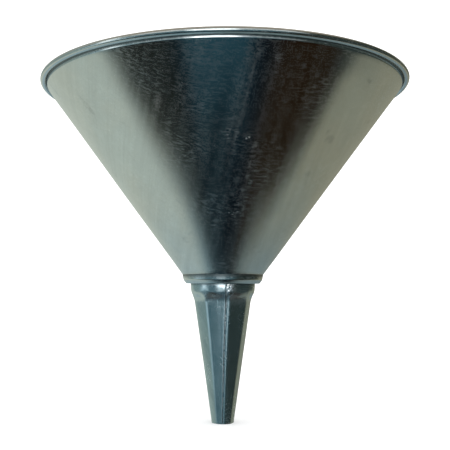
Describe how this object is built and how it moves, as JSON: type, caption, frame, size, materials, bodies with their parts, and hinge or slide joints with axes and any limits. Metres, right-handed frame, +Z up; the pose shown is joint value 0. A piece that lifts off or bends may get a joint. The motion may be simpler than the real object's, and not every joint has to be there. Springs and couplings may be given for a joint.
{
  "type": "funnel",
  "caption": "Wide sheet-metal pouring funnel with a wired rim, a long fluted spout, a collar and a soldered lap seam.",
  "frame": {"origin": "centre of the spout's outlet, in the plane of its end", "axes": "+Z up along the funnel's axis towards the mouth, -Y towards the front, where the spout's lap seam is, and +X to the right seen from the front"},
  "size_m": [0.25, 0.25, 0.2298],
  "materials": {
    "bowl_sheet": "bright galvanised sheet with fine rolling streaks",
    "rim_wire": "plain drawn wire",
    "spout_sheet": "bright galvanised sheet, pressed flats",
    "solder": "satin, slightly lumpy"
  },
  "bodies": {
    "root": {"bowl": "bowl_sheet", "rim_wire": "rim_wire", "spout": "spout_sheet", "neck_solder": "solder", "spout_seam_solder": "solder", "bowl_seam_solder": "solder"}
  },
  "joints": []
}
